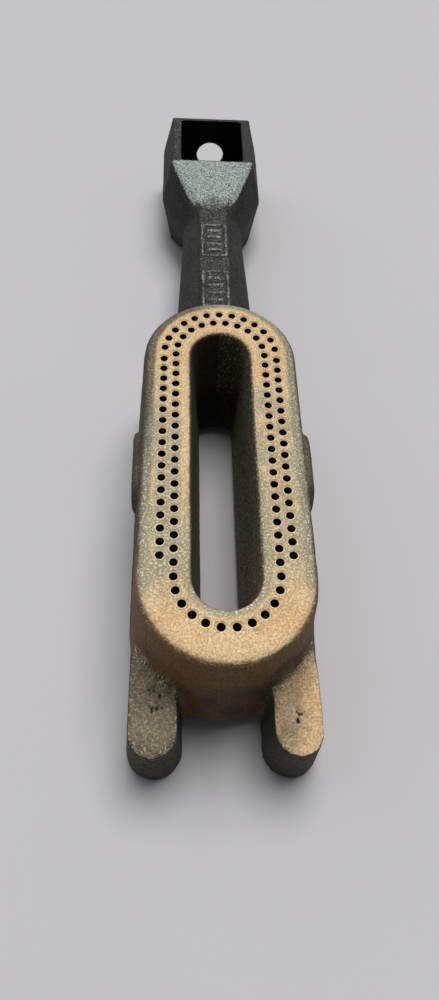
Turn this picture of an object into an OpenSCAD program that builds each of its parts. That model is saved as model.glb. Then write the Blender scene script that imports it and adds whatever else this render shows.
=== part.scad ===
// Cast-iron ring burner with a venturi mixer, long axis along Y, mixer at +Y.
// Z = 0 is the plane that the two feet and the mixer stand on. X = 0 is the plane of symmetry,
// and the origin is the middle of the footprint on that plane.

/* [Overall] */
// Height of the ported deck above the standing plane
deck_z = 50.8; // [46:0.1:62]
// Distance from the centre of the far end arc to the rear face of the mixer
reach = 176; // [160:1:220]

/* [Ports] */
// Distance between neighbouring ports
port_pitch = 4.76; // [4:0.01:6]
// Ports along each straight side of the inner row
side_ports = 20; // [10:1:30]
// Diameter of a drilled port
port_d = 2.8; // [1.5:0.1:3]
// Distance from the ring's long axis to the inner row of ports
inner_row = 16.4; // [16:0.1:18]
// Distance from the inner row to the outer row
row_gap = 4.35; // [3:0.05:5.5]

/* [Ring casting] */
// Half width of the central slot at the deck
slot_r = 10.8; // [9:0.1:12]
// Half width of the central slot at the lower lip
slot_foot_r = 6.7; // [6:0.1:8]
// Half width of the ring at the deck, below its rounded shoulder
ring_r = 28; // [26:0.1:32]
// How much further out the drafted outer wall stands at the lower lip
ring_draft = 4.4; // [2:0.1:6]
// Radius of the rounded shoulder between the deck and the outer wall
shoulder_r = 3.5; // [0.5:0.1:4]
// Radius of the rounded edge of the slot
slot_edge_r = 1; // [0.5:0.1:1.5]
// Thickness of the ported deck
deck_t = 5; // [4:0.1:8]
// Thickness of the outer and inner walls
wall_t = 3.8; // [3:0.1:4.5]
// Height of the lower lip above the standing plane
lip_z = 4; // [3.6:0.1:6]
// Lean of the slot's far wall, which thickens where the gas comes in
far_wall_lean = 11; // [8:0.1:16]
// Radius of the slot's leaning far wall
far_wall_r = 16; // [14:0.5:20]

/* [Feet and side pads] */
// Width across the outer edges of the two feet, at their tops
feet_span = 60; // [56:0.5:66]
// Width of one foot at its top
foot_w = 15; // [12:0.5:17]
// Height of the flat foot top
foot_top_z = 25.8; // [16:0.1:30]
// Distance from the centre of the near end arc to the front of a foot's top
foot_reach = 47.5; // [44:0.5:56]
// How much the foot spreads out on each side from its top to the standing plane
foot_draft = 1.8; // [0.5:0.1:3]
// Length of the cast pad on each side
pad_l = 30; // [16:0.5:40]
// Height of the cast pad
pad_h = 15; // [8:0.5:18]
// Height of the pad's middle
pad_z = 39; // [32:0.5:40]
// Distance from the ring's long axis to the face of a pad
pad_x = 30.9; // [29.5:0.1:36]

/* [Bottom cover] */
// Thickness of the bottom cover
cover_t = 2; // [1.5:0.1:2.4]
// Thickness of the gasket above the cover
gasket_t = 0.8; // [0.5:0.1:1]
// Width of the ledge that the gasket bears on
ledge_w = 1.6; // [1:0.1:2]
// Gap between the cover's edge and the rebate
cover_gap = 0.3; // [0.1:0.05:0.6]
// Thread diameter of a cover screw
screw_d = 4; // [3:0.5:5]
// Clearance on the diameter of the holes for the cover screws
screw_gap = 0.5; // [0.3:0.1:1]
// Length of a cover screw under its head
screw_l = 12; // [10:1:14]
// Diameter of a cover screw's head
screw_head_d = 7; // [6:0.5:8]
// Height of a cover screw's head
screw_head_h = 2; // [1.5:0.1:2.4]

/* [Venturi] */
// Height of the venturi's axis
axis_z = 20; // [20:0.1:25]
// Radius of the gas way through the nozzle
way_r = 10.2; // [9:0.1:10.4]
// Wall of the nozzle on the ring casting
nozzle_wall = 2.7; // [2:0.1:2.8]
// Length of the nozzle from the ring's outer wall
nozzle_l = 15; // [10:1:24]
// Thickness of the furnace cement in the socket
cement_t = 0.5; // [0.3:0.1:1]
// Radius of the venturi's throat
throat_r = 9.2; // [7:0.1:9.5]
// Outer radius of the tube at the socket
socket_r = 17.1; // [16.5:0.1:19]
// Outer radius of the tube at the mixer
tube_r = 13.8; // [13:0.1:15]
// Thread diameter of a set screw
set_screw_d = 5; // [4:0.5:6]

/* [Mixer] */
// Half width of the mixer at its open top
mixer_top_r = 19.6; // [17:0.1:22]
// Half width of the mixer at the mould's parting plane
mixer_mid_r = 24.7; // [22:0.1:28]
// Half width of the mixer at the standing plane
mixer_foot_r = 20.4; // [18:0.1:23]
// Height of the mixer's open top
mixer_top_z = 38.8; // [36:0.1:44]
// Length of the flat rim round the air opening
rim_l = 37.4; // [28:0.1:40]
// Length of the mixer at the parting plane, before it tapers to the tube
mixer_l = 41.5; // [38:0.5:48]
// Length of the taper from the mixer to the tube
taper_l = 28; // [20:1:34]
// How much further forward the mixer's floor reaches than its parting plane
floor_reach = 4.5; // [0:0.5:8]
// Wall of the mixer's sides, floor and taper
mixer_wall = 3.5; // [2.5:0.1:4.5]
// Wall of the mixer's rear face, which holds the orifice
rear_wall = 2.4; // [2:0.1:5]
// Thickness of the front edge of the air opening
opening_edge = 0.6; // [0.5:0.1:3]
// Width of the rim beside the air opening
rim_w = 4.2; // [3:0.1:6]
// Radius of the hole for the gas orifice
orifice_r = 7.1; // [5:0.1:8.5]
// Width of the flat land along the top of the tube
land_w = 13.6; // [10:0.1:15]
// Length of one raised border on the land
panel_l = 23.5; // [16:0.5:26]
// Width of the raised borders
panel_w = 11.8; // [8:0.1:13]
// Distance between the two raised borders, and from the taper to the first one
panel_gap = 10; // [4:0.5:14]
// Height of the raised borders above the land
panel_h = 0.6; // [0.3:0.1:1]
// Width of a border's line
panel_line = 1; // [0.6:0.1:2]

/* [Hidden] */
$fn = 64;

inside = 0.5;                                // overlap that joins two shapes of one casting
straight = (side_ports - 1) * port_pitch;    // between the centres of the two end arcs
outer_row = inner_row + row_gap;
lip_r = ring_r + ring_draft;
rear_y = straight + reach;
front_y = -(foot_reach + foot_draft);
middle_y = (front_y + rear_y) / 2;

cover_step = 0.2;                            // the cover stops this far above the lip
cover_z = lip_z + cover_step;
ledge_z = cover_z + cover_t + gasket_t;
channel_top = deck_z - deck_t;

foot_gap = 1;                                // between a foot and the edge of the cover
foot_end = 15;                               // a foot's underside stops this far from the arc's centre

end_ports = 10;                              // inner ports round each end
end_step = 16.4;                             // degrees from one of them to the next
outer_end_ports = 13;                        // outer ports round the far end
outer_end_step = 13.5;

far_wall_set = 0.6;                          // from the slot's far arc out to the leaning wall
far_wall_start = 12;                         // the slot's sides stay plain up to here

boss_r = 3.6;
boss_h = screw_l + 2;
boss_inset = 2.6;                            // from the outer wall's inner face to a boss's centre
boss_row = wall_at(ledge_z) - boss_inset;
near_screws = 45;                            // degrees from the long axis
far_screws = 55;
screw_room = 0.5;                            // hole left below the tip of a cover screw
cover_screw_places = concat(
    [for (side = [-1, 1], y = [0.25, 0.75]) [side * boss_row, y * straight]],
    [for (side = [-1, 1]) [side * boss_row * sin(near_screws), -boss_row * cos(near_screws)]],
    [for (side = [-1, 1])
        [side * boss_row * sin(far_screws), straight + boss_row * cos(far_screws)]]);

nozzle_r = way_r + nozzle_wall;
nozzle_end = straight + outer_at(axis_z) + nozzle_l;
socket_gap = 0.7;                            // from the ring's lip to the socket's face
socket_start = straight + lip_r + socket_gap;
socket_play = 0.3;                           // beyond the nozzle's end
taper_y = rear_y - mixer_l - taper_l;
throat_l = 8;                                // straight length of the throat before the taper
throat_y = taper_y - throat_l;
set_screw_y = (socket_start + nozzle_end) / 2;
set_screw_angle = 50;                        // to each side of straight down
set_screw_play = 0.05;                       // between a set screw's tip and the nozzle
set_screw_sink = 0.55;                       // its end lies this far under the tube's skin
driver_slot = 0.9;                           // width and depth of a screwdriver slot

// Outer face of the ring's wall at a height, measured from the ring's long axis
function outer_at(z) = ring_r + ring_draft * (deck_z - z) / (deck_z - lip_z);
// Inner face of the outer wall at a height
function wall_at(z) = outer_at(z) - wall_t;
// Face of the slot at a height
function slot_at(z) = slot_foot_r + (slot_r - slot_foot_r) * (z - lip_z) / (deck_z - lip_z);
// Channel face of the slot's wall at a height
function slot_wall_at(z) = slot_at(z) + wall_t;
// Outer radius of the tube at a place along it
function tube_at(y) = socket_r + (tube_r - socket_r) * (y - socket_start) / (taper_y - socket_start);

// Puts everything in the part's own frame.
module in_frame() { translate([0, -middle_y, 0]) children(); }

// Sweeps a half profile (distance from the long axis, height) round the whole racetrack.
module racetrack() {
    translate([0, straight, 0]) rotate_extrude(angle = 180) children();
    rotate([0, 0, 180]) rotate_extrude(angle = 180) children();
    translate([0, straight, 0]) rotate([90, 0, 0]) linear_extrude(straight) {
        children();
        mirror([1, 0]) children();
    }
}

// A flat racetrack ring between two half widths.
module flat_ring(inner, outer, z, height) {
    racetrack() translate([inner, z]) square([outer - inner, height]);
}

module along_y(radius, from_y, to_y) {
    translate([0, to_y, axis_z]) rotate([90, 0, 0]) cylinder(r = radius, h = to_y - from_y);
}

module at_cover_screws() {
    for (place = cover_screw_places) translate([place[0], place[1], 0]) children();
}

// Set screws come up from below, on both sides of the tube's lowest line.
module at_set_screws() {
    for (side = [-1, 1])
        translate([0, set_screw_y, axis_z]) rotate([0, 180 - side * set_screw_angle, 0]) children();
}

// ---- Burner head -------------------------------------------------------------------------

// The wall and the deck, with a quarter circle for the shoulder between them.
module outer_profile() {
    middle = [outer_at(deck_z - shoulder_r) - shoulder_r, deck_z - shoulder_r];
    polygon([[0, lip_z], [lip_r, lip_z], middle + [shoulder_r, 0],
             middle + [0.3, 0.5] * shoulder_r, middle + [0, shoulder_r], [0, deck_z]]);
    translate(middle)
        intersection() {
            circle(r = shoulder_r);
            square(shoulder_r);
        }
}

module channel_profile() {
    polygon([[slot_wall_at(ledge_z), ledge_z - inside], [wall_at(ledge_z), ledge_z - inside],
             [wall_at(channel_top), channel_top], [slot_wall_at(channel_top), channel_top]]);
}

module slot_profile() {
    polygon([[0, -1], [slot_at(-1), -1], [slot_at(deck_z + 1), deck_z + 1], [0, deck_z + 1]]);
    difference() {
        translate([slot_r - inside, deck_z - slot_edge_r]) square(slot_edge_r + inside);
        translate([slot_r + slot_edge_r - 0.05, deck_z - slot_edge_r]) circle(r = slot_edge_r);
    }
}

// The slot, shortened at the bottom by its leaning far wall.
module slot() {
    apex_y = straight + slot_r + far_wall_set;
    intersection() {
        racetrack() slot_profile();
        union() {
            translate([-ring_r, -ring_r, -2])
                cube([2 * ring_r, ring_r + straight - far_wall_start, deck_z + 4]);
            translate([0, apex_y - far_wall_r / cos(far_wall_lean), deck_z])
                rotate([-far_wall_lean, 0, 0])
                    translate([0, 0, -2 * deck_z]) cylinder(r = far_wall_r, h = 3 * deck_z);
        }
    }
}

module rebate() {
    flat_ring(slot_wall_at(ledge_z) - ledge_w, wall_at(ledge_z) + ledge_w, -1, ledge_z + 1);
}

module foot(side) {
    top_r = foot_w / 2;
    x = side * (feet_span / 2 - top_r);
    y = top_r - foot_reach;
    back = -y;
    difference() {
        union() {
            translate([x, y, 0]) cylinder(r1 = top_r + foot_draft, r2 = top_r, h = foot_top_z);
            translate([x, y + back, 0]) rotate([90, 0, 0]) linear_extrude(back)
                polygon([[-top_r - foot_draft, 0], [top_r + foot_draft, 0],
                         [top_r, foot_top_z], [-top_r, foot_top_z]]);
        }
        // clear of the cover, and not into the ring's own hollow
        translate([0, 0, -1]) cylinder(r = wall_at(ledge_z) + ledge_w + foot_gap, h = lip_z + 1);
        translate([-ring_r * 2, -foot_end, -1]) cube([ring_r * 4, 2 * foot_end, lip_z + 1]);
        translate([0, 0, lip_z - inside])
            cylinder(r = wall_at(foot_top_z) + wall_t / 2, h = foot_top_z);
    }
}

module side_pad(side) {
    reach_in = pad_x - outer_at(deck_z) + wall_t / 2;
    for (end = [-1, 1])
        translate([side * pad_x, straight / 2 + end * (pad_l - pad_h) / 2, pad_z])
            rotate([0, -side * 90, 0]) cylinder(d = pad_h, h = reach_in);
    translate([side * (pad_x - reach_in / 2), straight / 2, pad_z])
        cube([reach_in, pad_l - pad_h, pad_h], center = true);
}

module port(x, y) { translate([x, y, channel_top - 1]) cylinder(d = port_d, h = deck_t + 2, $fn = 32); }

// Both rows of ports. The inner row closes round both ends, the outer row is open at the near end.
module ports() {
    for (side = [-1, 1]) {
        for (i = [0 : side_ports - 1]) port(side * inner_row, i * port_pitch);
        for (i = [1 : side_ports - 2]) port(side * outer_row, (i + 0.5) * port_pitch);
    }
    for (i = [0 : end_ports - 1]) {
        angle = (i - (end_ports - 1) / 2) * end_step;
        port(inner_row * sin(angle), straight + inner_row * cos(angle));
        port(inner_row * sin(angle), -inner_row * cos(angle));
    }
    for (i = [0 : outer_end_ports - 1]) {
        angle = (i - (outer_end_ports - 1) / 2) * outer_end_step;
        port(outer_row * sin(angle), straight + outer_row * cos(angle));
    }
}

module burner_head() in_frame() color([0.62, 0.55, 0.42]) difference() {
    union() {
        difference() {
            union() {
                racetrack() outer_profile();
                along_y(nozzle_r, straight + slot_wall_at(axis_z), nozzle_end);
            }
            racetrack() channel_profile();
        }
        for (side = [-1, 1]) {
            foot(side);
            side_pad(side);
        }
        at_cover_screws() translate([0, 0, ledge_z - inside]) cylinder(r = boss_r, h = boss_h);
    }
    slot();
    rebate();
    ports();
    along_y(way_r, straight + wall_at(axis_z) - 3, nozzle_end + 1);
    at_cover_screws() cylinder(d = screw_d, h = cover_z + screw_l + screw_room);
}

// ---- Bottom cover, its gasket and screws ---------------------------------------------------

module cover_ring(z, height) {
    inner = slot_wall_at(ledge_z) - ledge_w + cover_gap;
    outer = wall_at(ledge_z) + ledge_w - cover_gap;
    difference() {
        flat_ring(inner, outer, z, height);
        at_cover_screws() translate([0, 0, z - 1]) cylinder(d = screw_d + screw_gap, h = height + 2);
    }
}

module bottom_cover() in_frame() color([0.25, 0.24, 0.23]) cover_ring(cover_z, cover_t);

module cover_gasket() in_frame() color([0.75, 0.74, 0.7]) difference() {
    cover_ring(cover_z + cover_t, gasket_t);
    flat_ring(slot_wall_at(ledge_z) + 1, wall_at(ledge_z) - 2 * boss_r - 1, 0, deck_z);
}

module cover_screws() in_frame() color([0.45, 0.44, 0.43]) at_cover_screws() difference() {
    union() {
        translate([0, 0, cover_z - screw_head_h]) cylinder(d = screw_head_d, h = screw_head_h);
        translate([0, 0, cover_z - inside]) cylinder(d = screw_d, h = screw_l + inside);
    }
    translate([-screw_head_d, -driver_slot / 2, cover_z - screw_head_h - 1])
        cube([2 * screw_head_d, driver_slot, 1 + driver_slot]);
}

// ---- Mixer tube ----------------------------------------------------------------------------

// Hull of three level plates [half width, first y, height] that end at the rear, and of the
// round section that the taper runs down to.
module mixer_shape(plates, back_y, round_r, round_y) {
    thin = 0.01;
    hull() {
        for (p = plates)
            translate([-p[0], p[1], max(0, p[2] - thin / 2)])
                cube([2 * p[0], back_y - p[1], thin]);
        translate([0, round_y, axis_z]) rotate([90, 0, 0]) cylinder(r = round_r, h = thin, $fn = 48);
    }
}

module mixer_outside() {
    mixer_shape([[mixer_top_r, rear_y - rim_l, mixer_top_z],
                 [mixer_mid_r, rear_y - mixer_l, axis_z],
                 [mixer_foot_r, rear_y - mixer_l - floor_reach, 0],
                 [land_w / 2, taper_y + 1, axis_z + tube_r]],
                rear_y, tube_r, taper_y);
}

module mixer_inside() {
    mixer_shape([[mixer_top_r - rim_w, rear_y - rim_l + opening_edge, mixer_top_z - mixer_wall],
                 [mixer_mid_r - mixer_wall, rear_y - mixer_l + mixer_wall / 2, axis_z],
                 [mixer_foot_r - mixer_wall, rear_y - mixer_l - floor_reach + mixer_wall, mixer_wall]],
                rear_y - rear_wall, throat_r, taper_y + 2);
}

module air_opening() {
    translate([rim_w - mixer_top_r, rear_y - rim_l + opening_edge, axis_z + mixer_wall])
        cube([2 * (mixer_top_r - rim_w), rim_l - opening_edge - rear_wall, mixer_top_z]);
}

// A bar on top of the tube that follows its slope, from one place to another along it.
module on_top(width, from_y, to_y, from_h, to_h) {
    rotate([90, 0, 90]) translate([0, 0, -width / 2]) linear_extrude(width)
        polygon([[from_y, axis_z + tube_at(from_y) + from_h], [to_y, axis_z + tube_at(to_y) + from_h],
                 [to_y, axis_z + tube_at(to_y) + to_h], [from_y, axis_z + tube_at(from_y) + to_h]]);
}

// A blank rectangle with a raised border.
module raised_border(to_y) {
    from_y = to_y - panel_l;
    difference() {
        on_top(panel_w, from_y, to_y, -inside, panel_h);
        on_top(panel_w - 2 * panel_line, from_y + panel_line, to_y - panel_line, 0, 2 * panel_h);
    }
}

module mixer_tube() in_frame() color([0.2, 0.19, 0.18]) difference() {
    union() {
        translate([0, taper_y + 1, axis_z]) rotate([90, 0, 0])
            cylinder(r1 = tube_at(taper_y + 1), r2 = socket_r, h = taper_y + 1 - socket_start);
        mixer_outside();
        on_top(land_w, socket_start, taper_y + 1, -tube_r / 2, 0);
        for (i = [0, 1]) raised_border(taper_y - panel_gap - i * (panel_l + panel_gap));
    }
    mixer_inside();
    air_opening();
    along_y(nozzle_r + cement_t, socket_start - 1, nozzle_end + socket_play);
    translate([0, throat_y, axis_z]) rotate([90, 0, 0])
        cylinder(r1 = throat_r, r2 = way_r, h = throat_y - nozzle_end);
    along_y(throat_r, throat_y - 0.1, taper_y + 4);
    along_y(orifice_r, rear_y - rear_wall - 1, rear_y + 1);
    at_set_screws() cylinder(d = set_screw_d, h = 2 * socket_r);
}

module joint_cement() in_frame() color([0.55, 0.53, 0.5]) difference() {
    along_y(nozzle_r + cement_t, socket_start, nozzle_end);
    along_y(nozzle_r, socket_start - 1, nozzle_end + 1);
    at_set_screws() cylinder(d = set_screw_d, h = 2 * socket_r);
}

module set_screws() in_frame() color([0.4, 0.39, 0.38]) at_set_screws() difference() {
    end = tube_at(set_screw_y) - set_screw_sink;
    translate([0, 0, nozzle_r + set_screw_play])
        cylinder(d = set_screw_d, h = end - nozzle_r - set_screw_play);
    translate([-set_screw_d, -driver_slot / 2, end - driver_slot])
        cube([2 * set_screw_d, driver_slot, 2 * driver_slot]);
}

burner_head();
bottom_cover();
cover_gasket();
cover_screws();
mixer_tube();
joint_cement();
set_screws();
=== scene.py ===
"""Cast-iron ring burner: castings, finishes and stage built around the fixed CAD frame."""

import math
import random

import bmesh
import bpy
import numpy as np
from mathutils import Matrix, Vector, noise


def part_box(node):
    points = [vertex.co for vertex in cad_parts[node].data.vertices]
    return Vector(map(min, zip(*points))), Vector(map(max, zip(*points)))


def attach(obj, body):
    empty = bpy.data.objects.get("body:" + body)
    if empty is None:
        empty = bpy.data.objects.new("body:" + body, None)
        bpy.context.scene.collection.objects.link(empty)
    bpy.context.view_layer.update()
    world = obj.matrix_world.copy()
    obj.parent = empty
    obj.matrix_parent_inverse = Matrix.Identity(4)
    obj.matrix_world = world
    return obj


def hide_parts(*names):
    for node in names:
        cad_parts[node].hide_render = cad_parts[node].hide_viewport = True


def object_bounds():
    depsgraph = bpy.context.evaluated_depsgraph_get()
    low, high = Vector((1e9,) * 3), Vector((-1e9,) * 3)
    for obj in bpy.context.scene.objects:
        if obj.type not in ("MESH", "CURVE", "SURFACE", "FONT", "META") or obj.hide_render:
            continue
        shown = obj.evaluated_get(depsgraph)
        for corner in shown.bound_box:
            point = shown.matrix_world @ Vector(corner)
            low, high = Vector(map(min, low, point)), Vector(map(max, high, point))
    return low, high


bl_info = {
    "name": "Ring Burner",
    "version": (1, 0, 0),
    "blender": (4, 5, 0),
    "location": "3D View > Sidebar > Burner",
    "description": "Builds the castings, finishes and stage of a cast-iron ring burner",
    "category": "Object",
}

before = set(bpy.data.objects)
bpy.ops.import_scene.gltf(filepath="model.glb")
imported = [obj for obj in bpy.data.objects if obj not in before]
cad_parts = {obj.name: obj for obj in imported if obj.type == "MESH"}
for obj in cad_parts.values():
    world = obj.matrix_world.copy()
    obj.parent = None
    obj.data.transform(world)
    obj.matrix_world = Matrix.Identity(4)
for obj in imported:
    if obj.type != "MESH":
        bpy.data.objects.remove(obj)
CAD_LOW, CAD_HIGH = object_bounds()
MM = 0.001


def srgb(red, green, blue):
    """A colour given as 0 to 255 screen values, in the linear values that shaders use."""
    def linear(value):
        value /= 255
        return value / 12.92 if value <= 0.04045 else ((value + 0.055) / 1.055) ** 2.4
    return tuple(linear(v) for v in (red, green, blue))


def end_centres():
    """The y of the ring's near and far arc centres, read from the bottom cover, a racetrack."""
    low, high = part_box("bottom_cover")
    return low.y + high.x, high.y - high.x


NEAR_Y, FAR_Y = end_centres()
REAR_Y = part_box("mixer_tube")[1].y
DECK_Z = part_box("burner_head")[1].z
NOZZLE_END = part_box("burner_head")[1].y
TUBE_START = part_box("mixer_tube")[0].y


# ---- Settings ----------------------------------------------------------------------------


def length(name, description, default_mm):
    return bpy.props.FloatProperty(name=name, description=description, default=default_mm * MM,
                                   min=0, unit="LENGTH", subtype="DISTANCE", precision=5)


def colour(name, description, red, green, blue):
    return bpy.props.FloatVectorProperty(name=name, description=description, size=3, min=0, max=1,
                                         subtype="COLOR", default=srgb(red, green, blue))


def degrees(name, description, default):
    return bpy.props.FloatProperty(name=name, description=description, subtype="ANGLE",
                                   default=math.radians(default), unit="ROTATION")


def amount(name, description, default):
    return bpy.props.IntProperty(name=name, description=description, default=default, min=2)


class RingSizes(bpy.types.PropertyGroup):
    """Sizes of the ring casting"""
    deck_half: length("Deck half width", "Half width of the ring at the deck", 28)
    draft: length("Wall draft", "How much further out the wall stands at the lip", 4.4)
    shoulder: length("Shoulder radius", "Rounding between the deck and the wall", 3.5)
    lip_height: length("Lip height", "Height of the lower lip above the floor", 4)
    wall: length("Wall", "Thickness of the ring's walls", 3.8)
    deck_thickness: length("Deck thickness", "Thickness of the ported deck", 5)
    slot_half: length("Slot half width", "Half width of the slot at the deck", 10.8)
    slot_foot_half: length("Slot foot half width", "Half width of the slot at the lip", 6.7)
    far_wall_radius: length("Far wall radius", "Radius of the slot's leaning far wall", 16)
    far_wall_lean: degrees("Far wall lean", "Lean of the slot's far wall", 11)
    foot_half: length("Foot half width", "Half width of a foot at its top", 7.5)
    feet_half_span: length("Feet half span", "From the long axis to a foot's outer edge", 30)
    foot_height: length("Foot height", "Height of a foot's flat top", 25.8)
    foot_reach: length("Foot reach", "From the near arc's centre to a foot's front", 47.5)
    foot_draft: length("Foot draft", "How much a foot spreads towards the floor", 1.8)
    pad_length: length("Pad length", "Length of the cast pad on each side", 30)
    pad_height: length("Pad height", "Height of the cast pad", 15)
    pad_middle: length("Pad middle", "Height of the pad's middle", 39)
    pad_face: length("Pad face", "From the long axis to the pad's face", 30.9)
    ledge_height: length("Ledge height", "Height of the ledge the gasket bears on", 7)
    ledge: length("Ledge width", "Width of the gasket's ledge", 1.6)
    nozzle_outer: length("Nozzle radius", "Outer radius of the nozzle", 12.9)
    gas_way: length("Gas way radius", "Radius of the gas way through the nozzle", 10.2)
    boss_radius: length("Boss radius", "Radius of a screw boss", 3.6)
    boss_inset: length("Boss inset", "From the wall's inner face to a boss's centre", 2.6)
    boss_height: length("Boss height", "Height of a screw boss", 14)
    screw_hole: length("Screw hole", "Diameter of a cover screw's hole", 4)
    skin_grain: length("Skin voxel", "Size of the facets of the cast skin", 0.8)
    skin_lumps: length("Skin lumps", "Height of the lumps in the cast skin", 0.16)


class PortSizes(bpy.types.PropertyGroup):
    """Sizes and places of the gas ports"""
    diameter: length("Port diameter", "Diameter of a port", 2.8)
    rim: length("Rim width", "Width of the worn rim round a port", 0.36)
    pitch: length("Port pitch", "Distance between neighbouring ports", 4.76)
    inner_row: length("Inner row", "From the long axis to the inner row", 16.4)
    outer_row: length("Outer row", "From the long axis to the outer row", 20.75)
    side_ports: amount("Side ports", "Inner ports along each straight side", 20)
    end_ports: amount("End ports", "Inner ports round each end", 10)
    outer_end_ports: amount("Outer end ports", "Outer ports round the far end", 13)
    end_step: degrees("End step", "Angle between inner ports round an end", 16.4)
    outer_end_step: degrees("Outer end step", "Angle between outer ports at the end", 13.5)


class MixerSizes(bpy.types.PropertyGroup):
    """Sizes of the mixer tube casting"""
    axis_height: length("Axis height", "Height of the venturi's axis", 20)
    socket_outer: length("Socket radius", "Outer radius of the tube at the socket", 17.1)
    tube_outer: length("Tube radius", "Outer radius of the tube at the mixer", 13.8)
    cement_radius: length("Socket bore radius", "Radius of the socket's bore", 13.4)
    way: length("Way radius", "Radius of the gas way at the nozzle", 10.2)
    throat: length("Throat radius", "Radius of the venturi's throat", 9.2)
    throat_length: length("Throat length", "Straight length of the throat", 8)
    top_half: length("Top half width", "Half width at the open top", 19.6)
    middle_half: length("Middle half width", "Half width at the parting plane", 24.7)
    foot_half: length("Floor half width", "Half width at the floor", 20.4)
    top_height: length("Top height", "Height of the open top", 38.8)
    rim_length: length("Rim length", "Length of the flat rim", 37.4)
    mixer_length: length("Mixer length", "Length at the parting plane", 41.5)
    floor_reach: length("Floor reach", "How much further forward the floor reaches", 4.5)
    taper: length("Taper length", "Length of the taper to the tube", 28)
    wall: length("Mixer wall", "Thickness of the sides, floor and taper", 3.5)
    rear_wall: length("Rear wall", "Thickness of the wall that holds the orifice", 2.4)
    opening_edge: length("Opening edge", "Thickness of the opening's front edge", 0.6)
    rim_width: length("Rim width", "Width of the rim beside the opening", 4.2)
    orifice: length("Orifice radius", "Radius of the hole for the gas orifice", 7.1)
    land: length("Land width", "Width of the flat land on the tube", 13.6)
    field_length: length("Field length", "Length of one raised border", 23.5)
    field_width: length("Field width", "Width of the raised borders", 11.8)
    field_gap: length("Field gap", "Distance between the raised borders", 10)
    field_line: length("Border line", "Width of a border's line", 1.1)
    field_height: length("Border height", "Height of a border above the land", 0.8)
    set_screw: length("Set screw hole", "Diameter of a set screw's hole", 5)
    skin_grain: length("Skin voxel", "Size of the facets of the cast skin", 0.55)
    skin_lumps: length("Skin lumps", "Height of the lumps in the cast skin", 0.1)


class FinishColours(bpy.types.PropertyGroup):
    """Colours of the burner's surfaces"""
    deck_tan: colour("Heated tan", "Deck scale after years of heat", 200, 176, 136)
    deck_orange: colour("Heated orange", "Warmer patches of the deck scale", 194, 160, 116)
    worn_grey: colour("Worn grey-green", "Bare oxide between the ports", 150, 150, 126)
    # Also painted glints: the pale flecks on the coves by the feet and on the mixer's slope.
    fleck_and_glint: colour("Pale fleck", "Pale grains in the worn skin", 214, 206, 182)
    rust: colour("Rust brown", "Rust on the walls", 110, 78, 42)
    wall_dark: colour("Wall brown", "Dark scale on the walls", 58, 50, 38)
    foot_grey: colour("Foot grey", "Worn skin on the feet", 110, 101, 82)
    # Also painted shade: laid on faces that look down, deep in the slot and in pits.
    soot_and_shade: colour("Soot", "Inside the ports and the channel", 14, 12, 10)
    tube_dark: colour("Tube iron", "Dark skin of the mixer tube", 38, 37, 36)
    # Painted reflection of the light on the mixer's slope, with real wear on its ridges and
    # borders.
    tube_sheen_and_wear: colour("Mixer frost", "Pale worn skin on the mixer's slope", 158, 166, 160)
    cover: colour("Cover scale", "Mill scale on the bottom cover", 64, 60, 57)
    cover_rust: colour("Cover rust", "Rust on the bottom cover", 104, 70, 44)
    gasket: colour("Gasket", "Pressed fibre of the gasket", 188, 184, 172)
    screw: colour("Screw steel", "Blackened steel of the screws", 118, 114, 108)
    cement: colour("Furnace cement", "Cement in the socket", 150, 146, 136)
    port_edge: colour("Port edge", "Scale chipped pale round the ports", 238, 220, 186)
    floor: colour("Floor", "Pale floor", 170, 169, 172)


# ---- Shapes ------------------------------------------------------------------------------

ARC_STEPS = 28     # faces round each end of a racetrack
SIDE_STEPS = 24    # faces along each of its sides


def circle(radius, count, turned=0.0):
    """Points of a circle round the origin. turned shifts them, in steps between points."""
    return [(radius * math.cos(a), radius * math.sin(a))
            for a in (2 * math.pi * (k + turned) / count for k in range(count))]


def racetrack_outline(half, lean_y=None, lean_radius=None):
    """Points round a racetrack. With a leaning far wall, the far end stops at that wall."""
    turns = [math.pi * k / ARC_STEPS for k in range(ARC_STEPS + 1)]
    steps = [(FAR_Y - NEAR_Y) * k / SIDE_STEPS for k in range(1, SIDE_STEPS)]
    points = [(-half * math.cos(a), NEAR_Y - half * math.sin(a)) for a in turns]
    points += [(half, NEAR_Y + step) for step in steps]
    for a in turns:
        x, y = half * math.cos(a), FAR_Y + half * math.sin(a)
        if lean_y is not None:
            y = min(y, lean_y + math.sqrt(lean_radius ** 2 - x * x))
        points.append((x, y))
    return points + [(-half, FAR_Y - step) for step in steps]


def loft(name, sections):
    """A closed solid through sections with equal numbers of 3D points."""
    count = len(sections[0])
    mesh = bmesh.new()
    rings = [[mesh.verts.new(p) for p in section] for section in sections]
    for low, high in zip(rings, rings[1:]):
        for k in range(count):
            j = (k + 1) % count
            mesh.faces.new((low[k], low[j], high[j], high[k]))
    mesh.faces.new(rings[0][::-1])
    mesh.faces.new(rings[-1])
    return finished(name, mesh)


def finished(name, mesh):
    """Closes a bmesh: doubles merged, faces outwards, made an object in the scene."""
    bmesh.ops.remove_doubles(mesh, verts=mesh.verts, dist=1e-7)
    bmesh.ops.triangulate(mesh, faces=[f for f in mesh.faces if len(f.verts) > 4])
    bmesh.ops.recalc_face_normals(mesh, faces=mesh.faces)
    data = bpy.data.meshes.new(name)
    mesh.to_mesh(data)
    mesh.free()
    piece = bpy.data.objects.new(name, data)
    bpy.context.scene.collection.objects.link(piece)
    return piece


def racetrack_solid(name, profile):
    """A racetrack lofted through (half width, height) pairs."""
    return loft(name, [[(x, y, z) for x, y in racetrack_outline(half)] for half, z in profile])


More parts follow.
